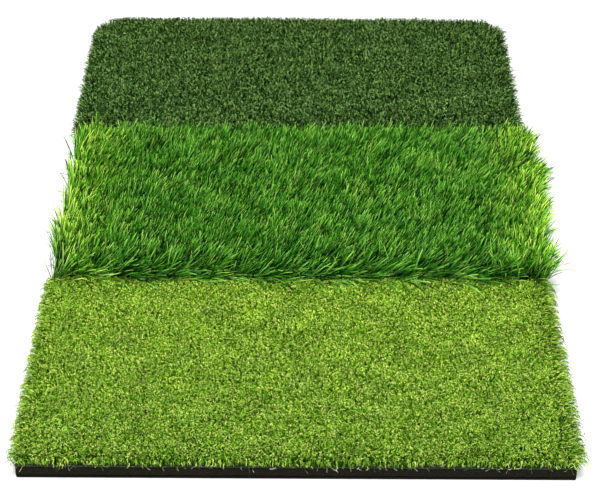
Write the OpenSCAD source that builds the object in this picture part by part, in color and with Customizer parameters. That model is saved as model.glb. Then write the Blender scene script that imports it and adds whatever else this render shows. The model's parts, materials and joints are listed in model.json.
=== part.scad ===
// Tri-turf golf hitting mat: three strips of artificial turf, each with its own
// pile, glued edge to edge on one foam pad with a rubber sole.
// Millimetres. The mat lies on Z = 0, centred on the origin.
// -Y is the short fairway end, +Y the tee end, +X is the golfer's right.

/* [Outline] */
// Side to side, over the foam pad
mat_w = 406; // [300:1:600]
// Front to back, over the foam pad
mat_d = 635; // [450:1:900]
// Radius of the two corners at the fairway end
front_corner_r = 1.5; // [1:0.5:15]
// Radius of the two corners at the tee end
back_corner_r = 24; // [5:1:60]

/* [Base] */
// Thickness of the rubber sole
sole_t = 2; // [1.5:0.5:4]
// Depth of the grip grooves in the sole
groove_depth = 0.8; // [0.4:0.1:1.2]
// Width of each grip groove
groove_w = 3; // [2:0.5:5]
// Distance from one grip groove to the next
groove_pitch = 24; // [14:1:40]
// Thickness of the foam pad
foam_t = 7.6; // [4:0.2:20]
// Thickness of each film of glue
glue_t = 0.4; // [0.3:0.1:1]

/* [Turf backing] */
// Thickness of the latex that locks the tufts
latex_t = 1; // [0.6:0.1:2]
// Thickness of the woven cloth that the tufts are stitched through
cloth_t = 0.6; // [0.4:0.1:1.2]
// Width of the tape under each join between strips
tape_w = 50; // [30:1:80]
// Gap between the cut edges of two strips
join_gap = 0.6; // [0.2:0.1:1]

/* [Pile] */
// Height of the fairway strip's short curly pile
fairway_h = 11; // [6:1:16]
// Height of the rough strip's long straight pile
rough_h = 29; // [25:1:50]
// Height of the tee strip's dense curly pile
tee_h = 20; // [8:1:24]
// How far the fairway pile leans out past the pad
fairway_lean = 3; // [1:0.5:5]
// How far the rough pile leans out past the pad
rough_lean = 9; // [5:1:15]
// How far the tee pile leans out past the pad
tee_lean = 3; // [1:0.5:5]
// How far the rough pile hangs over the strips beside it
rough_overhang = 5; // [2:1:10]

/* [Hidden] */
$fn = 64;

// Strips, numbered from the front
FAIRWAY = 0;
ROUGH = 1;
TEE = 2;
strip_d = mat_d / 3;

// Heights of the layers
sole_glue_z = sole_t;
foam_z = sole_glue_z + glue_t;
glue_z = foam_z + foam_t;
latex_z = glue_z + glue_t;
cloth_z = latex_z + latex_t;
pile_z = cloth_z + cloth_t;

glue_inset = 3;  // the glue stops short of the outer edges
pile_gap = 0.5;  // clearance between the solids of neighbouring piles
pile_crown = 0.3;  // the pile's edge rounds over in this share of its height
far = mat_d + mat_w;  // longer than any part of the mat

function strip_front(i) = -mat_d / 2 + i * strip_d;
function join_y(i) = strip_front(i + 1);

// The pad's outline, grown outwards by grow
module outline(grow = 0) {
    half_w = mat_w / 2 + grow;
    half_d = mat_d / 2 + grow;
    front_r = front_corner_r + max(grow, 0);
    back_r = back_corner_r + grow;
    union() {
        translate([-half_w, -half_d + front_r])
            square([2 * half_w, 2 * half_d - front_r - back_r]);
        translate([-half_w + front_r, -half_d])
            square([2 * (half_w - front_r), 2 * front_r]);
        translate([-half_w + back_r, half_d - 2 * back_r])
            square([2 * (half_w - back_r), 2 * back_r]);
        for (side = [-1, 1]) {
            translate([side * (half_w - front_r), -half_d + front_r])
                circle(front_r);
            translate([side * (half_w - back_r), half_d - back_r])
                circle(back_r);
        }
    }
}

// The part of the outline between two distances from front to back
module outline_between(y0, y1, grow = 0)
    intersection() {
        outline(grow);
        translate([-far / 2, y0])
            square([far, y1 - y0]);
    }

module layer(z, t)
    translate([0, 0, z])
        linear_extrude(t)
            children();

// One strip's sheet: it reaches the outer edges and stops at the joins
module strip_sheet(i, z, t)
    layer(z, t)
        outline_between(
            i == FAIRWAY ? -far : join_y(i - 1) + join_gap / 2,
            i == TEE ? far : join_y(i) - join_gap / 2);

// One strip's glue: it stops at the tapes and short of the outer edges
module strip_glue(i)
    layer(glue_z, glue_t)
        outline_between(
            i == FAIRWAY ? -far : join_y(i - 1) + tape_w / 2,
            i == TEE ? far : join_y(i) - tape_w / 2,
            -glue_inset);

module join_tape(i)
    layer(glue_z, glue_t)
        outline_between(join_y(i) - tape_w / 2, join_y(i) + tape_w / 2);

// Side view of a pile from wall to wall, leaning out by a at the low wall and
// by b at the high one; a lean only starts at height a_z or b_z
module pile_profile(low, high, h, a, b, a_z = 0, b_z = 0) {
    crown = h * pile_crown;
    polygon([
        [low, 0],
        [high, 0],
        [high, b_z],
        [high + b, h - crown],
        [high + b - crown / 2, h],
        [low - a + crown / 2, h],
        [low - a, h - crown],
        [low, a_z]
    ]);
}

// A pile seen from the front, run through the whole mat
module pile_across(h, lean)
    rotate([90, 0, 0])
        linear_extrude(far, center = true)
            pile_profile(-mat_w / 2, mat_w / 2, h, lean, lean);

// A pile seen from the side, run through the whole mat
module pile_along(low, high, h, a, b, a_z = 0, b_z = 0)
    rotate([90, 0, 90])
        linear_extrude(far, center = true)
            pile_profile(low, high, h, a, b, a_z, b_z);

// The rubber sole, with grip grooves across its underside
module rubber_sole() {
    grooves = floor((mat_d / 2 - back_corner_r) / groove_pitch);
    color("#1b1c1b")
        difference() {
            layer(0, sole_t)
                outline();
            for (i = [-grooves : grooves - 1])
                translate([-far / 2, (i + 0.5) * groove_pitch - groove_w / 2, -1])
                    cube([far, groove_w, 1 + groove_depth]);
        }
}

module sole_glue_film()
    color("#8c8563")
        layer(sole_glue_z, glue_t)
            outline(-glue_inset);

module foam_pad()
    color("#242624")
        layer(foam_z, foam_t)
            outline();

module front_join_tape()
    color("#3a3d3a")
        join_tape(FAIRWAY);

module back_join_tape()
    color("#3a3d3a")
        join_tape(ROUGH);

module glue_film(i)
    color("#8c8563")
        strip_glue(i);

module latex_coat(i)
    color("#4b5046")
        strip_sheet(i, latex_z, latex_t);

module backing_cloth(i)
    color("#23301c")
        strip_sheet(i, cloth_z, cloth_t);

module fairway_pile()
    color("#72982f")
        translate([0, 0, pile_z])
            intersection() {
                pile_across(fairway_h, fairway_lean);
                pile_along(
                    strip_front(FAIRWAY), join_y(FAIRWAY) - pile_gap / 2,
                    fairway_h, fairway_lean, 0);
                linear_extrude(fairway_h)
                    outline(fairway_lean);
            }

// The rough pile hangs over the lower piles in front of it and behind it
module rough_pile()
    color("#457522")
        translate([0, 0, pile_z])
            intersection() {
                pile_across(rough_h, rough_lean);
                pile_along(
                    join_y(FAIRWAY) + pile_gap / 2, join_y(ROUGH) - pile_gap / 2,
                    rough_h, rough_overhang, rough_overhang / 2,
                    fairway_h + pile_gap, tee_h + pile_gap);
            }

module tee_pile()
    color("#3f5a2c")
        translate([0, 0, pile_z])
            intersection() {
                pile_across(tee_h, tee_lean);
                pile_along(
                    join_y(ROUGH) + pile_gap / 2, strip_front(TEE + 1),
                    tee_h, 0, tee_lean);
                linear_extrude(tee_h)
                    outline(tee_lean);
            }

rubber_sole();
sole_glue_film();
foam_pad();
front_join_tape();
back_join_tape();
glue_film(FAIRWAY);  // fairway_glue_film
glue_film(ROUGH);  // rough_glue_film
glue_film(TEE);  // tee_glue_film
latex_coat(FAIRWAY);  // fairway_latex_coat
latex_coat(ROUGH);  // rough_latex_coat
latex_coat(TEE);  // tee_latex_coat
backing_cloth(FAIRWAY);  // fairway_backing_cloth
backing_cloth(ROUGH);  // rough_backing_cloth
backing_cloth(TEE);  // tee_backing_cloth
fairway_pile();
rough_pile();
tee_pile();
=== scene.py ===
"""A tri-turf golf hitting mat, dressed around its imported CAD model.

The three piles are modelled blade by blade: each tuft of yarn stands on the
backing cloth where a tufting machine would stitch it, and each blade is a
ribbon of mesh that curls or leans on its own. The foam pad, latex and cloth
are built as cut sheets with soft edges. Lengths are in metres.
"""

import json
import math

import bmesh
import bpy
import numpy as np
from mathutils import Euler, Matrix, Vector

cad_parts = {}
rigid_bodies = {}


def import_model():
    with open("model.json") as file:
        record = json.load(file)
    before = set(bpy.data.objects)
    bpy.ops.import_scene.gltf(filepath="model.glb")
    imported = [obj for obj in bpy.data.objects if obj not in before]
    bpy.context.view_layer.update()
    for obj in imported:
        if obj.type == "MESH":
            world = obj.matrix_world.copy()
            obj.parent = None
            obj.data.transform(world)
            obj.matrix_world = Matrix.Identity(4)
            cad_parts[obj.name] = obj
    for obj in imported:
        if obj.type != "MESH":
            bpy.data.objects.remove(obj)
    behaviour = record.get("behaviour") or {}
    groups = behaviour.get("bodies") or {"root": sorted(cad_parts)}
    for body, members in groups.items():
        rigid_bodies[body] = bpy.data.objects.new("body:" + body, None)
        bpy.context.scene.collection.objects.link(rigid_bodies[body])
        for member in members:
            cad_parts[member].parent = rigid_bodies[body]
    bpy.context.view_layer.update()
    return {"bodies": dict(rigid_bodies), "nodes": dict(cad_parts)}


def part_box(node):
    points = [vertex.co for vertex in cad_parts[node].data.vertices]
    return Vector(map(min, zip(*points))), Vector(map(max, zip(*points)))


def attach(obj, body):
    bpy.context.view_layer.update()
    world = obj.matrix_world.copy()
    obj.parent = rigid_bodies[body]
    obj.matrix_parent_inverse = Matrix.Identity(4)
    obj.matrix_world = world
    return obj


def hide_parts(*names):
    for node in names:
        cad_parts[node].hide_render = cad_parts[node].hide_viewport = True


MM = 0.001
TAU = 2 * math.pi
STRIPS = ("fairway", "rough", "tee")
FRONT_CORNER = 1.5 * MM  # corner radii of the pad's outline
BACK_CORNER = 24 * MM
SEAM_CORNER = 0.4 * MM  # corner radius of a strip where it meets another
LOOSE_THREADS = {"fairway": 280, "rough": 30, "tee": 110}
STRAY_BLADES = 90
STRAND_STEPS = np.array([[0, 0.3, 0.55, 0.75, 0.9, 1]])  # along a strand, root to tip
BLADE_STEPS = np.linspace(0, 1, 6)[None, :]  # along a blade, root to tip
EDGE_REACH = 11 * MM  # how far in from the edge the strands are pushed outwards
FAIRWAY = {
    "row_gap": 2.4 * MM,  # from one row of tufts to the next
    "stitch": 2.0 * MM,  # from one tuft to the next along its row
    "strands": 8,  # in each tuft
    "height": 11 * MM,
    "width": 0.62 * MM,
    "curl": 0.8 * MM,  # radius of the spiral that a strand rises in
    "turns": 1.4,  # of that spiral
    "lean": 1.4 * MM,  # furthest that a tip leans in any direction
    "push": (8 * MM, 12 * MM, 3.5 * MM),  # outwards at the left, the right and both ends
    "droop": 0.5,  # share of its push that an outer strand sinks
    "rise": 2.6,  # how soon a strand comes up to its height
    "painted_shadow": 0.0,  # how much darker the front rows are: painted shadow, as the rough casts on the tee
    "spread": 0.31,  # how much the strands differ in shade
    "pieces": 8,  # that the pile is made in
}
TEE = {
    "row_gap": 2.4 * MM,
    "stitch": 2.0 * MM,
    "strands": 8,
    "height": 23 * MM,
    "width": 0.68 * MM,
    "curl": 0.9 * MM,
    "turns": 1.7,
    "lean": 2.6 * MM,
    "push": (9 * MM, 11 * MM, 9 * MM),
    "droop": 0.1,
    "rise": 2.2,
    # Painted shadow of the rough over the tee's front rows.
    "painted_shadow": 0.12,
    "spread": 0.46,
    "pieces": 8,
}
ROUGH = {
    "row_gap": 6 * MM,
    "stitch": 3.5 * MM,
    "strands": 17,
    "length": 32 * MM,
    "width": 1.04 * MM,
    "pieces": 8,
}

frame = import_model()
body = next(iter(frame["bodies"]))


def box_of(name):
    """A node's lowest and highest corner."""
    low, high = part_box(name)
    return np.array(low), np.array(high)


pad_low, pad_high = box_of("foam_pad")


# ---------------------------------------------------------------- camera, light

def add_camera():
    """A long lens above the fairway end, looking down along the mat."""
    data = bpy.data.cameras.new("camera")
    data.lens = 98.8
    data.sensor_width = 36
    camera = bpy.data.objects.new("camera", data)
    camera.location = (-0.0001, -1.1808, 0.84)
    tilt = math.radians(90 - 36.22)
    roll = math.radians(-0.31)
    turn = math.radians(0.11)
    camera.rotation_euler = Euler((tilt, roll, turn))
    bpy.context.scene.collection.objects.link(camera)
    bpy.context.scene.camera = camera


def add_sun(name, strength, spread, tilt, turn):
    data = bpy.data.lights.new(name, "SUN")
    data.energy = strength
    data.angle = math.radians(spread)
    sun = bpy.data.objects.new(name, data)
    sun.rotation_euler = Euler((math.radians(tilt), 0, math.radians(turn)))
    bpy.context.scene.collection.objects.link(sun)


def add_studio():
    """White surroundings, one broad soft light overhead and a pale floor."""
    scene = bpy.context.scene
    scene.view_settings.view_transform = "Standard"
    scene.view_settings.look = "None"
    world = bpy.data.worlds.new("studio")
    world.use_nodes = True
    background = world.node_tree.nodes["Background"]
    background.inputs["Color"].default_value = (1, 1, 1, 1)
    background.inputs["Strength"].default_value = 1.0
    scene.world = world
    add_sun("key", 2.6, 20, 14, -10)
    bpy.ops.mesh.primitive_plane_add(size=30)
    floor = bpy.context.object
    floor.name = "floor"
    paper, shader, _ = new_material("floor_paper")
    shader.inputs["Base Color"].default_value = (0.9, 0.9, 0.89, 1)
    shader.inputs["Roughness"].default_value = 0.9
    floor.data.materials.append(paper)


# -------------------------------------------------------------------- materials

def new_material(name):
    """A material with one Principled shader: (material, shader, tree)."""
    material = bpy.data.materials.new(name)
    material.use_nodes = True
    tree = material.node_tree
    return material, tree.nodes["Principled BSDF"], tree


def add_node(tree, kind, settings=None, **links):
    """A node with its settings, and its inputs linked or set by name."""
    node = tree.nodes.new("ShaderNode" + kind)
    for key, value in (settings or {}).items():
        setattr(node, key, value)
    for key, value in links.items():
        socket = node.inputs[key.replace("_", " ")]
        if isinstance(value, bpy.types.NodeSocket):
            tree.links.new(value, socket)
        else:
            socket.default_value = value
    return node


def tone(red, green, blue):
    """A colour given as it looks on a screen, 0 to 255, made linear."""
    shares = [part / 255 for part in (red, green, blue)]
    return tuple(p / 12.92 if p < 0.04045 else ((p + 0.055) / 1.055) ** 2.4 for p in shares)


def grey(level):
    return (level, level, level)


def ramp(tree, value, stops):
    """A colour ramp over value, with stops of (place, colour)."""
    node = add_node(tree, "ValToRGB", Fac=value)
    elements = node.color_ramp.elements
    while len(elements) < len(stops):
        elements.new(0.5)
    for element, (place, colour) in zip(elements, stops):
        element.position = place
        element.color = (*colour, 1)
    return node.outputs["Color"]


def mix(tree, kind, share, a, b):
    """Two colours mixed as kind says."""
    node = add_node(tree, "Mix", {"data_type": "RGBA", "blend_type": kind})
    colours = [socket for socket in node.inputs if socket.type == "RGBA"]
    node.inputs[0].default_value = share
    tree.links.new(a, colours[0])
    tree.links.new(b, colours[1])
    return next(socket for socket in node.outputs if socket.type == "RGBA")


def noise(tree, scale, detail=3.0, roughness=0.6):
    """Noise over the object's own coordinates, in cells per metre."""
    place = add_node(tree, "TexCoord").outputs["Object"]
    node = add_node(
        tree, "TexNoise", Vector=place, Scale=scale, Detail=detail, Roughness=roughness
    )
    return node.outputs["Fac"]


def yarn_material(name, along, shades, patch_and_light_tint, painted_rim_shade, clear, roughness, gloss):
    """Yarn whose colour differs from blade to blade and drifts in yellower patches over the mat,
    and which lets light through. Painted shade darkens each blade deep in the pile and towards
    both its edges, with a painted highlight at its tip and painted light over the pile's sides
    and ends."""
    material, shader, tree = new_material(name)
    yarn = add_node(tree, "Attribute", {"attribute_name": "yarn"}).outputs["Vector"]
    parts = add_node(tree, "SeparateXYZ", Vector=yarn)
    painted_light_level, shade, patches_and_painted_light = (parts.outputs[axis] for axis in "XYZ")
    across = add_node(tree, "Attribute", {"attribute_name": "across"}).outputs["Fac"]
    # Painted shade towards both edges of each blade, as a round fibre shades at its sides.
    rim_shade_ramp = [(0, grey(painted_rim_shade)), (0.32, grey(1)), (0.68, grey(1)), (1, grey(painted_rim_shade))]
    colour = ramp(tree, shade, shades)
    # Painted shade deep in the pile, up to a painted highlight at the tips.
    colour = mix(tree, "MULTIPLY", 1, colour, ramp(tree, painted_light_level, along))
    # Random yellower patches, with painted light over the pile's sides and ends.
    colour = mix(tree, "MULTIPLY", 1, colour, ramp(tree, patches_and_painted_light, [(0, grey(1)), (1, patch_and_light_tint)]))
    colour = mix(tree, "MULTIPLY", 1, colour, ramp(tree, across, rim_shade_ramp))
    tree.links.new(colour, shader.inputs["Base Color"])
    shader.inputs["Roughness"].default_value = roughness
    shader.inputs["Specular IOR Level"].default_value = gloss
    through = add_node(tree, "BsdfTranslucent", Color=colour)
    blend = add_node(tree, "MixShader", Fac=clear)
    tree.links.new(shader.outputs[0], blend.inputs[1])
    tree.links.new(through.outputs[0], blend.inputs[2])
    tree.links.new(blend.outputs[0], tree.nodes["Material Output"].inputs["Surface"])
    return material


def speckled_material(name, dark, light, grain, bump, roughness):
    """Foam, rubber, latex or glue: two close colours in fine grain, with bump."""
    material, shader, tree = new_material(name)
    fine = noise(tree, grain)
    colour = ramp(tree, fine, [(0.35, dark), (0.7, light)])
    tree.links.new(colour, shader.inputs["Base Color"])
    low, high = roughness
    rough = ramp(tree, noise(tree, grain / 7), [(0.3, grey(low)), (0.7, grey(high))])
    tree.links.new(rough, shader.inputs["Roughness"])
    shader.inputs["Specular IOR Level"].default_value = 0.05
    lumps = add_node(tree, "Bump", Strength=0.6, Distance=bump, Height=fine)
    tree.links.new(lumps.outputs["Normal"], shader.inputs["Normal"])
    return material


def woven_material(name, dark, light, pitch):
    """A plain weave of flat tapes, pitch apart both ways. At a scale of 1, a
    wave texture's bands are TAU / 20 apart."""
    material, shader, tree = new_material(name)
    place = add_node(tree, "TexCoord").outputs["Object"]
    tapes = []
    for direction in ("X", "Y"):
        wave = add_node(
            tree, "TexWave", {"bands_direction": direction},
            Vector=place, Scale=TAU / 20 / pitch, Distortion=0.4,
        )
        tapes.append(wave.outputs["Fac"])
    weave = add_node(tree, "Math", {"operation": "MULTIPLY"})
    for tape, socket in zip(tapes, weave.inputs):
        tree.links.new(tape, socket)
    height = weave.outputs[0]
    # The colour is darker where the weave lies low: painted shade between the tapes.
    colour = ramp(tree, height, [(0.05, dark), (0.7, light)])
    stains = ramp(tree, noise(tree, 60), [(0.3, grey(0.5)), (0.7, grey(1))])
    colour = mix(tree, "MULTIPLY", 0.6, colour, stains)
    tree.links.new(colour, shader.inputs["Base Color"])
    rough = ramp(tree, height, [(0, grey(0.9)), (1, grey(0.6))])
    tree.links.new(rough, shader.inputs["Roughness"])
    threads = add_node(tree, "Bump", Strength=0.7, Distance=0.2 * MM, Height=height)
    tree.links.new(threads.outputs["Normal"], shader.inputs["Normal"])
    return material


# ------------------------------------------------------------------ mesh makers

def new_piece(name, points, faces, material):
    """A mesh object that rides the mat; faces is an array of quads."""
    mesh = bpy.data.meshes.new(name)
    mesh.vertices.add(len(points))
    mesh.vertices.foreach_set("co", points.astype(np.float32).ravel())
    corners = faces.shape[1]
    mesh.loops.add(faces.size)
    mesh.loops.foreach_set("vertex_index", faces.astype(np.int32).ravel())
    mesh.polygons.add(len(faces))
    mesh.polygons.foreach_set("loop_start", np.arange(0, faces.size, corners, dtype=np.int32))
    mesh.polygons.foreach_set("use_smooth", np.full(len(faces), True))
    mesh.update(calc_edges=True)
    mesh.materials.append(material)
    piece = bpy.data.objects.new(name, mesh)
    bpy.context.scene.collection.objects.link(piece)
    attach(piece, body)
    return piece


def hills(rng, plan, size, waves=8):
    """A smooth random field over the plan, mostly -1 to 1, with hills size apart."""
    total = np.zeros(len(plan))
    for _ in range(waves):
        heading = rng.uniform(0, TAU)
        turns = TAU / (size * rng.uniform(0.6, 1.8))
        along = plan[:, 0] * math.cos(heading) + plan[:, 1] * math.sin(heading)
        total += np.sin(turns * along + rng.uniform(0, TAU))
    return total / math.sqrt(waves)


def unit(vectors):
    """The vectors, each made one long."""
    return vectors / np.maximum(np.linalg.norm(vectors, axis=-1, keepdims=True), 1e-9)


def ribbons(name, paths, widths, facing, crease, painted_light_level, tints, material):
    """One ribbon for each path of shape (blades, steps, 3), its flat side turned
    to facing. A creased ribbon has a third point across, along its middle.
    The yarn attribute holds each point's painted light level, 0 to 1: painted shade
    deep in the pile, painted light at the tips. Then come its blade's two tints: its shade,
    and its share of yellower patches and painted light. The across attribute runs from 0
    at one edge to 1 at the other."""
    blades, steps, _ = paths.shape
    along = unit(np.gradient(paths, axis=1))
    side = unit(np.cross(along, facing)) * widths[..., None] / 2
    if crease:
        fold = np.cross(side, along) * crease
        across = np.stack([paths - side, paths + fold, paths + side], axis=2)
    else:
        across = np.stack([paths - side, paths + side], axis=2)
    wide = across.shape[2]
    first = np.arange(blades * steps * wide).reshape(blades, steps, wide)
    faces = np.stack(
        [first[:, :-1, :-1], first[:, :-1, 1:], first[:, 1:, 1:], first[:, 1:, :-1]], axis=-1
    ).reshape(-1, 4)
    piece = new_piece(name, across.reshape(-1, 3), faces, material)
    values = np.empty((blades, steps, wide, 3), dtype=np.float32)
    values[..., 0] = painted_light_level[..., None]
    values[..., 1:] = tints[:, None, None, :]
    attribute = piece.data.attributes.new("yarn", "FLOAT_VECTOR", "POINT")
    attribute.data.foreach_set("vector", values.ravel())
    places = np.broadcast_to(np.linspace(0, 1, wide, dtype=np.float32), (blades, steps, wide))
    attribute = piece.data.attributes.new("across", "FLOAT", "POINT")
    attribute.data.foreach_set("value", places.ravel())
    atlas(piece.data, blades, steps, wide, faces)
    return piece


def atlas(mesh, blades, steps, wide, faces):
    """A UV map that gives each blade its own upright cell."""
    columns = math.ceil(math.sqrt(blades * 2))
    rows = math.ceil(blades / columns)
    blade, rest = np.divmod(faces.ravel(), steps * wide)
    step, corner = np.divmod(rest, wide)
    u = (blade % columns + 0.2 + 0.6 * corner / (wide - 1)) / columns
    v = (blade // columns + 0.1 + 0.8 * step / (steps - 1)) / rows
    layer = mesh.uv_layers.new(name="OFBake")
    layer.data.foreach_set("uv", np.stack([u, v], axis=1).astype(np.float32).ravel())


# ------------------------------------------------------------------ cut sheets

def rounded_outline(low, high, radii, step=3 * MM):
    """Plan points round a rectangle from low to high, anticlockwise from its
    front left corner, with one radius for each corner."""
    corners = [(low[0], low[1]), (high[0], low[1]), (high[0], high[1]), (low[0], high[1])]
    inward = [(1, 1), (-1, 1), (-1, -1), (1, -1)]
    points = []
    for i, ((x, y), (a, b), r) in enumerate(zip(corners, inward, radii)):
        start = math.pi + i * math.pi / 2
        count = max(3, math.ceil(r * math.pi / 2 / (0.7 * MM)) + 1)
        for angle in np.linspace(start, start + math.pi / 2, count):
            points.append((x + a * r + r * math.cos(angle), y + b * r + r * math.sin(angle)))
    points = np.array(points)
    filled = []
    for start, end in zip(points, np.roll(points, -1, axis=0)):
        count = max(1, round(np.linalg.norm(end - start) / step))
        filled += [start + (end - start) * k / count for k in range(count)]
    return np.array(filled)


def cut_sheet(name, outline, low, high, rounding, wobble, seed, material):
    """A flat sheet between two heights whose cut edge is rounded and uneven."""
    rng = np.random.default_rng(seed)
    ahead = unit(np.roll(outline, -1, axis=0) - np.roll(outline, 1, axis=0))
    outward = np.stack([ahead[:, 1], -ahead[:, 0]], axis=1)
    middle = (low + high) / 2
    corner = 0.3 * rounding
    flat = 12 * MM  # how far in from the cut edge the flat caps start
    rings = [
        (flat, low), (rounding, low), (corner, low + corner), (0, low + rounding), (0, middle),
        (0, high - rounding), (corner, high - corner), (rounding, high), (flat, high),
    ]
    points = []
    for inset, z in rings:
        uneven = wobble * (hills(rng, outline, 9 * MM) + hills(rng, outline, 60 * MM))
        plan = outline + outward * (uneven[:, None] * (inset < 2 * MM) - inset)
        points.append(np.column_stack([plan, np.full(len(plan), z)]))
    count = len(outline)
    here = np.arange(count)
    after = np.roll(here, -1)
    faces = [
        np.stack([here, after, after + count, here + count], axis=1) + ring * count
        for ring in range(len(rings) - 1)
    ]
    piece = new_piece(name, np.concatenate(points), np.concatenate(faces), material)
    close_caps(piece.data, count, len(rings))
    return piece


def close_caps(mesh, count, rings):
    """Fills the sheet's flat top and bottom."""
    work = bmesh.new()
    work.from_mesh(mesh)
    work.verts.ensure_lookup_table()
    bottom = [work.verts[i] for i in range(count)]
    top = [work.verts[(rings - 1) * count + i] for i in range(count)]
    work.faces.new(list(reversed(bottom)))
    work.faces.new(top)
    work.to_mesh(mesh)
    work.free()


# ------------------------------------------------------------------------ tufts

def tufts(rng, strip, row_gap, stitch, margin):
    """Where the machine stitches one strip's tufts: rows from side to side,
    every second one shifted by half a stitch, and all a little off."""
    low, high = box_of(strip + "_backing_cloth")
    low = low + margin
    high = high - margin
    xs = np.arange(low[0], high[0], stitch)
    ys = np.linspace(low[1], high[1], round((high[1] - low[1]) / row_gap) + 1)
    y, x = np.meshgrid(ys, xs, indexing="ij")
    x = x + (np.arange(len(ys)) % 2)[:, None] * stitch / 2
    plan = np.stack([x.ravel(), y.ravel()], axis=1)
    plan += rng.normal(0, 0.14, plan.shape) * [stitch, row_gap]
    plan = np.clip(plan, low[:2], high[:2])
    return plan[inside_corners(plan, margin)]


def inside_corners(plan, margin):
    """True for the points that the pad's two rounded back corners leave."""
    centre = pad_high[:2] - BACK_CORNER
    past = np.stack([np.abs(plan[:, 0]) - centre[0], plan[:, 1] - centre[1]], axis=1)
    cornered = (past > 0).all(axis=1)
    return ~cornered | (np.linalg.norm(past, axis=1) < BACK_CORNER - margin)


def edge_push(plan, reach):
    """Towards the pad's nearest edge: 0 from reach inwards, and 1 at the edge."""
    push = np.clip(1 - (pad_high[:2] - np.abs(plan)) / reach, 0, 1)
    return push * np.sign(plan)


def split_by_row(strip, word, paths, widths, facing, crease, painted_light_level, tints, material, parts):
    """Makes one strip's yarn as several pieces, front to back."""
    order = np.argsort(paths[:, 0, 1], kind="stable")
    for number, chosen in enumerate(np.array_split(order, parts), start=1):
        piece = ribbons(
            f"{strip}_{word}_{number}", paths[chosen], widths[chosen], facing[chosen],
            crease, painted_light_level[chosen], tints[chosen], material,
        )
        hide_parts(strip + "_pile")


def strand_heights(rng, roots, height, bands):
    """Each strand's height: nearly level over the pile, and down to a third of
    it in the outermost row, so that the pile's side shows tips as its top does."""
    level = height * (1 + 0.02 * hills(rng, roots, 50 * MM) + 0.01 * bands)
    level *= 1 - 0.3 * rng.beta(1.2, 3.0, len(roots))
    outermost = np.abs(edge_push(roots, 3 * MM)).max(axis=1)
    return level * (1 - 0.7 * outermost * rng.uniform(0, 1, len(roots)))


def strand_leans(rng, roots, heading, look):
    """How far each strand's tip is from its root in plan: a little along its
    heading, and outwards near the edge."""
    count = len(roots)
    ahead = np.stack([np.cos(heading), np.sin(heading)], axis=1)
    lean = look["lean"] * rng.uniform(0, 1, (count, 1)) * ahead
    push = edge_push(roots, EDGE_REACH)
    left, right, ends = look["push"]
    sideways = np.where(push[:, 0] < 0, left, right)
    outwards = np.stack([sideways, np.full(count, ends)], axis=1)
    return lean + push * outwards * rng.uniform(0.65, 1.05, (count, 1))


def spirals(rng, roots, root_z, height, lean, heading, look):
    """Each strand's path: up a loose spiral that flattens out at its top."""
    count = len(roots)
    t = STRAND_STEPS
    turns = look["turns"] * rng.uniform(0.7, 1.3, (count, 1)) * rng.choice([-1, 1], (count, 1))
    angle = rng.uniform(0, TAU, (count, 1)) + TAU * turns * t
    radius = look["curl"] * rng.uniform(0.6, 1.3, (count, 1)) * (0.35 + 0.65 * t)
    x = roots[:, :1] + lean[:, :1] * t + radius * np.cos(angle)
    y = roots[:, 1:] + lean[:, 1:] * t + radius * np.sin(angle)
    rise = 1 - (1 - t) ** look["rise"]
    ripple = 0.4 * radius * np.sin(1.7 * angle + heading[:, None]) * t
    reach = np.linalg.norm(lean, axis=1)[:, None]
    edge = np.abs(edge_push(roots, EDGE_REACH)).max(axis=1)[:, None]
    sag = (0.2 + look["droop"] * edge**3) * reach * t**3
    z = root_z + height[:, None] * rise + ripple - sag
    return np.stack([x, y, z], axis=-1)


def strand_tints(rng, roots, bands, look):
    """Each strand's shade, with a painted shadow of the rough over the front rows as
    much as look says, and its share of yellower patches, lighter towards the strip's
    back, with painted light along its two sides."""
    shade = 0.5 + look["spread"] * rng.normal(size=len(roots))
    shade += 0.02 * hills(rng, roots, 30 * MM) + 0.02 * bands
    depth = (roots[:, 1] - roots[:, 1].min()) / np.ptp(roots[:, 1])
    # Painted shadow of the rough over the front rows.
    shade -= look["painted_shadow"] * np.exp(-((depth / 0.08) ** 2))
    patches_and_painted_light = 0.6 * depth + 0.2 * hills(rng, roots, 35 * MM)
    # Painted light along the strip's two sides.
    patches_and_painted_light += 0.4 * np.abs(edge_push(roots, 5 * MM)[:, 0])
    return np.clip(np.stack([shade, patches_and_painted_light], axis=1), 0, 1)


def curly_yarn(strip, seed, look, material):
    """A pile of crimped strands, in low bands from side to side."""
    rng = np.random.default_rng(seed)
    root_z = box_of(strip + "_backing_cloth")[1][2]
    plan = tufts(rng, strip, look["row_gap"], look["stitch"], 1.2 * MM)
    roots = np.repeat(plan, look["strands"], axis=0)
    count = len(roots)
    roots += rng.normal(0, 0.8 * MM, roots.shape)
    bands = np.sin(TAU * roots[:, 1] / (21 * MM) + 1.5 * hills(rng, roots, 80 * MM))
    height = strand_heights(rng, roots, look["height"], bands)
    heading = rng.uniform(0, TAU, count)
    lean = strand_leans(rng, roots, heading, look)
    paths = spirals(rng, roots, root_z, height, lean, heading, look)
    taper = np.interp(STRAND_STEPS, [0, 0.8, 1], [1, 0.95, 0.5])
    widths = look["width"] * rng.uniform(0.75, 1.2, (count, 1)) * taper
    facing = unit(rng.normal(0, 0.7, (count, 1, 3)) + [0, 0, 1])
    tints = strand_tints(rng, roots, bands, look)
    # Painted light level: painted shade darkens a point the lower it lies in the pile, and
    # painted light lifts that shade near the pile's edges.
    painted_edge_light = 0.95 * np.abs(edge_push(roots, 4 * MM)).max(axis=1)[:, None]
    level = (paths[..., 2] - root_z) / look["height"]
    painted_light_level = np.clip(level + (1 - level) * painted_edge_light, 0, 1)
    split_by_row(
        strip, "strands", paths, widths, facing, 0, painted_light_level, tints, material, look["pieces"],
    )


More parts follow.
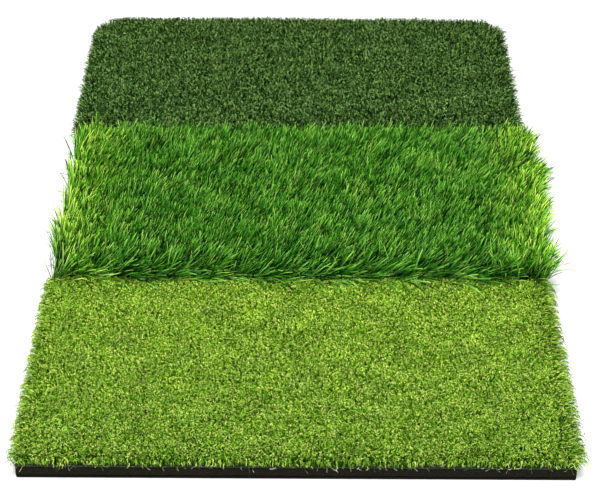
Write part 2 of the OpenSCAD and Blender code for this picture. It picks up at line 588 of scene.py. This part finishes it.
def comb(rng, plan, front, back, left, right, depth):
    """Which way each tuft is combed, as a share of its blades' length: to the
    right in clumps, most in the front rows, and forwards in the back rows."""
    near = np.exp(-((depth / 0.35) ** 2))
    aside = 0.4 + 0.4 * front - 0.15 * left * (1 - depth)
    aside -= 0.35 * front * right + 0.3 * near * right
    aside += 0.12 * right * np.exp(-(((depth - 0.65) / 0.2) ** 2))
    inwards = 0.1 + 0.1 * front - (0.35 - 0.2 * right) * back
    combed = np.stack([aside, inwards], axis=1)
    for axis in (0, 1):
        combed[:, axis] += 0.1 * hills(rng, plan, 45 * MM) + 0.09 * hills(rng, plan, 18 * MM)
    return combed + rng.normal(0, 0.1, combed.shape)


def bent_blades(rng, roots, root_z, lean, most, length, unruly):
    """Each blade's path: it leans further the higher it gets, up to the most
    that it may, and bows to one side."""
    count = len(roots)
    t = BLADE_STEPS
    amount = np.minimum(np.linalg.norm(lean, axis=1), most)
    heading = np.arctan2(lean[:, 1], lean[:, 0])[:, None]
    bend = np.clip(rng.normal(0.35, 0.15, count), 0, 1)[:, None]
    tilt = np.minimum(np.arcsin(amount)[:, None] * (1 + bend * (2 * t - 1)), 1.4)
    step = (length / (t.size - 1))[:, None]
    out = np.cumsum(np.sin(tilt) * step, axis=1) - np.sin(tilt[:, :1]) * step
    up = np.cumsum(np.cos(tilt) * step, axis=1) - np.cos(tilt[:, :1]) * step
    bow = unruly * rng.normal(0, 0.8, count)[:, None] * length[:, None] * t**2
    x = roots[:, :1] + out * np.cos(heading) - bow * np.sin(heading)
    y = roots[:, 1:] + out * np.sin(heading) + bow * np.cos(heading)
    return np.stack([x, y, root_z + up], axis=-1)


def straight_yarn(strip, seed, look, material):
    """A pile of long tapered blades, combed to the right in clumps. The front
    rows lie lower and less tidily, over the strip before them."""
    rng = np.random.default_rng(seed)
    low, high = box_of(strip + "_backing_cloth")
    plan = tufts(rng, strip, look["row_gap"], look["stitch"], 1.5 * MM)
    front = np.exp(-(((plan[:, 1] - low[1]) / (14 * MM)) ** 2))
    back = np.exp(-(((high[1] - plan[:, 1]) / (16 * MM)) ** 2))
    left = np.clip(-plan[:, 0] / high[0] - 0.75, 0, 1) / 0.25
    right = np.clip(plan[:, 0] / high[0] - 0.6, 0, 1) / 0.4
    depth = (plan[:, 1] - low[1]) / (high[1] - low[1])
    combed = comb(rng, plan, front, back, left, right, depth)

    def each(values):
        """A value for each tuft, repeated for each of its blades."""
        return np.repeat(values, look["strands"], axis=0)

    roots = each(plan)
    count = len(roots)
    front = each(front)
    unruly = 0.13 + 0.17 * front[:, None]
    lean = each(combed) + unruly * rng.normal(0, 1, (count, 2))
    roots += rng.normal(0, 1.0 * MM, roots.shape)
    brim = np.clip(1 - (roots[:, 0] - low[0]) / (4 * MM), 0, 1)
    lean[:, 0] -= brim * rng.uniform(0.0, 0.35, count)
    length = look["length"] * np.clip(rng.normal(1, 0.06, count), 0.8, 1.12)
    length *= each(np.clip(rng.normal(1, 0.06, len(plan)), 0.88, 1.06) - 0.1 * back)
    most = 0.9 - 0.1 * each(right)
    paths = bent_blades(rng, roots, high[2], lean, most, length, unruly)
    taper = np.interp(BLADE_STEPS, [0, 0.15, 0.8, 1], [0.75, 1, 0.9, 0.35])
    widths = look["width"] * rng.uniform(0.7, 1.2, (count, 1)) * taper
    facing = unit(rng.normal(0, 0.6, (count, 1, 3)) + [0, 0, 1])
    shade = 0.46 + 0.4 * rng.normal(size=count) + 0.06 * hills(rng, roots, 25 * MM)
    shade += each(0.1 * rng.normal(size=len(plan)) + 0.08 * back)
    # Yellower patches, with painted light over the strip's two ends, less of it in the front
    # rows.
    ends = np.clip(np.abs(roots[:, 0]) / high[0] - 0.75, 0, 0.25) / 0.25
    patches_and_painted_light = 0.04 + 0.16 * hills(rng, roots, 40 * MM) + 1.1 * ends * (1 - 0.6 * front)
    tints = np.clip(np.stack([shade, patches_and_painted_light], axis=1), 0, 1)
    # Painted light near the strip's sides and over its front rows lifts the painted shade of the
    # roots.
    painted_edge_light = 0.75 * np.abs(edge_push(roots, 6 * MM)[:, :1])
    painted_edge_light = np.maximum(painted_edge_light, 0.45 * front[:, None])
    # Painted light level, from painted shade at the root up to the tip.
    painted_light_level = BLADE_STEPS + (1 - BLADE_STEPS) * painted_edge_light
    split_by_row(
        strip, "blades", paths, widths, facing, 0.35, painted_light_level, tints, material, look["pieces"],
    )


def stray_blades(strip, seed, count, material):
    """A few thin dark fibres that stick out past both sides of a strip."""
    rng = np.random.default_rng(seed)
    low, high = box_of(strip + "_backing_cloth")
    side = np.where(np.arange(count) % 2, 1.0, -1.0)
    depth = rng.uniform(0.08, 0.95, count) * (high[1] - low[1])
    start = np.stack([side * (high[0] - 2 * MM), low[1] + depth, np.full(count, high[2])], axis=1)
    length = rng.uniform(14, 28, count) * MM
    t = np.linspace(0, 1, 12)[None, :]
    tilt = rng.uniform(0.5, 0.95, count)[:, None] + rng.uniform(-0.1, 1.3, count)[:, None] * t
    heading = rng.normal(0, 0.5, count)[:, None] + rng.normal(0, 1.1, count)[:, None] * t
    step = length[:, None] / (t.size - 1)
    x = start[:, :1] + np.cumsum(side[:, None] * np.sin(tilt) * np.cos(heading) * step, axis=1)
    y = start[:, 1:2] + np.cumsum(np.sin(tilt) * np.sin(heading) * step, axis=1)
    z = start[:, 2:] + np.cumsum(np.cos(tilt) * step, axis=1)
    paths = np.stack([x, y, z], axis=-1)
    taper = np.interp(t, [0, 0.5, 1], [1, 0.8, 0.4])
    widths = 0.42 * MM * taper * rng.uniform(0.7, 1.2, (count, 1))
    facing = unit(rng.normal(0, 1, (count, 1, 3)))
    # Painted light level: painted shade towards the root.
    painted_light_level = 0.5 + 0.4 * t.repeat(count, axis=0)
    tints = np.stack([rng.uniform(0.1, 0.6, count), np.zeros(count)], axis=1)
    piece = ribbons(strip + "_stray_blades", paths, widths, facing, 0, painted_light_level, tints, material)
    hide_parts(strip + "_pile")


def loose_threads(strip, seed, count, outline, height, material):
    """Threads frayed out of the cloth's cut edge, where it meets the outside."""
    rng = np.random.default_rng(seed)
    outer = (pad_high[:2] - np.abs(outline) < 1 * MM).any(axis=1)
    chosen = rng.choice(np.flatnonzero(outer), count)
    ahead = unit(np.roll(outline, -1, axis=0) - np.roll(outline, 1, axis=0))[chosen]
    outward = np.stack([ahead[:, 1], -ahead[:, 0]], axis=1)
    start = outline[chosen] - outward * 0.5 * MM + ahead * rng.uniform(-1.5, 1.5, (count, 1)) * MM
    t = np.linspace(0, 1, 9)[None, :]
    length = rng.uniform(2.5, 6.5, count) * MM
    swing = rng.normal(0, 0.9, count)[:, None] + rng.normal(0, 2.4, count)[:, None] * t
    drop = rng.uniform(-0.8, 0.3, count)[:, None] + rng.uniform(-0.6, 1.3, count)[:, None] * t
    step = length[:, None] / (t.size - 1)
    out = np.cumsum(np.cos(drop) * np.cos(swing) * step, axis=1)
    along = np.cumsum(np.cos(drop) * np.sin(swing) * step, axis=1)
    x = start[:, :1] + outward[:, :1] * out + ahead[:, :1] * along
    y = start[:, 1:] + outward[:, 1:] * out + ahead[:, 1:] * along
    z = height - np.cumsum(np.sin(drop) * step, axis=1)
    paths = np.stack([x, y, z], axis=-1)
    widths = 0.42 * MM * rng.uniform(0.7, 1.3, (count, 1)) * np.ones_like(t)
    facing = unit(rng.normal(0, 1, (count, 1, 3)))
    # Painted light level: painted shade towards the root.
    painted_light_level = t.repeat(count, axis=0)
    tints = np.stack([rng.uniform(0, 1, count), rng.uniform(0, 1, count)], axis=1)
    piece = ribbons(strip + "_loose_threads", paths, widths, facing, 0, painted_light_level, tints, material)
    return piece


# --------------------------------------------------------------------- building

def build_yarns():
    """The three piles, each with its own yarn."""
    fairway = yarn_material(
        "fairway_strands",
        # Over the painted light level: painted shade deep in the pile, up to a painted highlight
        # at the tips.
        along=[
            (0, (0.05, 0.09, 0.04)), (0.5, (0.23, 0.3, 0.23)),
            (0.8, (0.74, 0.77, 0.74)), (1, (1.36, 1.34, 1.32)),
        ],
        shades=[(0.04, tone(36, 78, 10)), (0.5, tone(146, 212, 48)), (0.96, tone(236, 255, 134))],
        # The first tint here gives yellower patches and painted light; the value after it,
        # painted shade at each blade's edges.
        patch_and_light_tint=(1.37, 1.29, 1.0), painted_rim_shade=0.08, clear=0.2, roughness=0.6, gloss=0.05,
    )
    curly_yarn("fairway", 11, FAIRWAY, fairway)
    rough = yarn_material(
        "rough_blades",
        # Over the painted light level: painted shade deep in the pile, up to a painted highlight
        # at the tips.
        along=[
            (0, (0.02, 0.06, 0.06)), (0.55, (0.07, 0.16, 0.16)),
            (0.82, (0.5, 0.62, 0.6)), (1, (1.32, 1.3, 1.22)),
        ],
        shades=[(0.05, tone(6, 48, 24)), (0.5, tone(82, 182, 30)), (0.95, tone(184, 248, 112))],
        # The first tint here gives yellower patches and painted light; the value after it,
        # painted shade at each blade's edges.
        patch_and_light_tint=(2.4, 1.55, 1.45), painted_rim_shade=0.4, clear=0.25, roughness=0.35, gloss=0.15,
    )
    straight_yarn("rough", 23, ROUGH, rough)
    stray_blades("rough", 29, STRAY_BLADES, rough)
    tee = yarn_material(
        "tee_strands",
        # Over the painted light level: painted shade deep in the pile, up to a painted highlight
        # at the tips.
        along=[
            (0, (0.04, 0.06, 0.04)), (0.6, (0.2, 0.27, 0.22)),
            (0.85, (0.7, 0.74, 0.72)), (1, (1.28, 1.26, 1.28)),
        ],
        shades=[(0.04, tone(3, 19, 2)), (0.5, tone(55, 106, 29)), (0.96, tone(170, 220, 120))],
        # The first tint here gives yellower patches and painted light; the value after it,
        # painted shade at each blade's edges.
        patch_and_light_tint=(0.88, 0.83, 0.78), painted_rim_shade=0.08, clear=0.15, roughness=0.65, gloss=0.05,
    )
    curly_yarn("tee", 37, TEE, tee)


def build_foam():
    """The foam pad, with a rounded and slightly uneven cut edge."""
    skin = speckled_material(
        "pad_foam", (0.003, 0.003, 0.0015), (0.02, 0.019, 0.011),
        grain=1100, bump=0.3 * MM, roughness=(0.75, 0.95),
    )
    radii = (FRONT_CORNER, FRONT_CORNER, BACK_CORNER, BACK_CORNER)
    outline = rounded_outline(pad_low, pad_high, radii)
    foam = cut_sheet(
        "foam_base_pad", outline, pad_low[2], pad_high[2], 0.8 * MM, 0.12 * MM, 5, skin,
    )
    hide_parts("foam_pad")


def build_backings():
    """Each strip's latex coat and cloth, and the threads frayed from the cloth."""
    latex = speckled_material(
        "latex_coat", (0.02, 0.03, 0.02), (0.05, 0.06, 0.045),
        grain=700, bump=0.3 * MM, roughness=(0.4, 0.7),
    )
    cloth = woven_material("woven_cloth", (0.006, 0.012, 0.005), (0.03, 0.055, 0.02), 2.2 * MM)
    threads = yarn_material(
        "cloth_threads",
        # Over the painted light level: painted shade towards the root end.
        along=[(0, grey(0.5)), (1, grey(1))],
        shades=[(0, tone(90, 104, 70)), (0.6, tone(178, 190, 150)), (1, tone(226, 230, 206))],
        # The first tint here gives yellower patches and painted light; the value after it,
        # painted shade at each thread's edges.
        patch_and_light_tint=(1.0, 0.9, 0.7), painted_rim_shade=0.8, clear=0.2, roughness=0.6, gloss=0.1,
    )
    for number, strip in enumerate(STRIPS):
        front = FRONT_CORNER if strip == "fairway" else SEAM_CORNER
        back = BACK_CORNER if strip == "tee" else SEAM_CORNER
        radii = (front, front, back, back)
        low, high = box_of(strip + "_latex_coat")
        coat = cut_sheet(
            strip + "_latex_sheet", rounded_outline(low, high, radii),
            low[2], high[2], 0.3 * MM, 0.1 * MM, 50 + number, latex,
        )
        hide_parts(strip + "_latex_coat")
        low, high = box_of(strip + "_backing_cloth")
        outline = rounded_outline(low, high, radii)
        weave = cut_sheet(
            strip + "_cloth_sheet", outline,
            low[2], high[2], 0.2 * MM, 0.1 * MM, 60 + number, cloth,
        )
        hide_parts(strip + "_backing_cloth")
        fringe = loose_threads(
            strip, 70 + number, LOOSE_THREADS[strip], outline, high[2], threads,
        )


def dress_cad_nodes():
    """Materials for the CAD nodes that show as they are, and a softer sole."""
    glue = speckled_material(
        "glue", (0.22, 0.2, 0.1), (0.34, 0.31, 0.18),
        grain=300, bump=0.1 * MM, roughness=(0.25, 0.5),
    )
    rubber = speckled_material(
        "sole_rubber", (0.004, 0.004, 0.003), (0.01, 0.01, 0.008),
        grain=2500, bump=0.15 * MM, roughness=(0.6, 0.85),
    )
    tape = woven_material("join_tape", (0.02, 0.022, 0.02), (0.06, 0.065, 0.06), 1.5 * MM)
    for name, node in frame["nodes"].items():
        kind = tape if "tape" in name else rubber if name == "rubber_sole" else glue
        node.data.materials.clear()
        node.data.materials.append(kind)
    bevel = frame["nodes"]["rubber_sole"].modifiers.new("worn_edges", "BEVEL")
    bevel.width = 0.3 * MM
    bevel.segments = 2


add_camera()
add_studio()
dress_cad_nodes()
build_foam()
build_backings()
build_yarns()
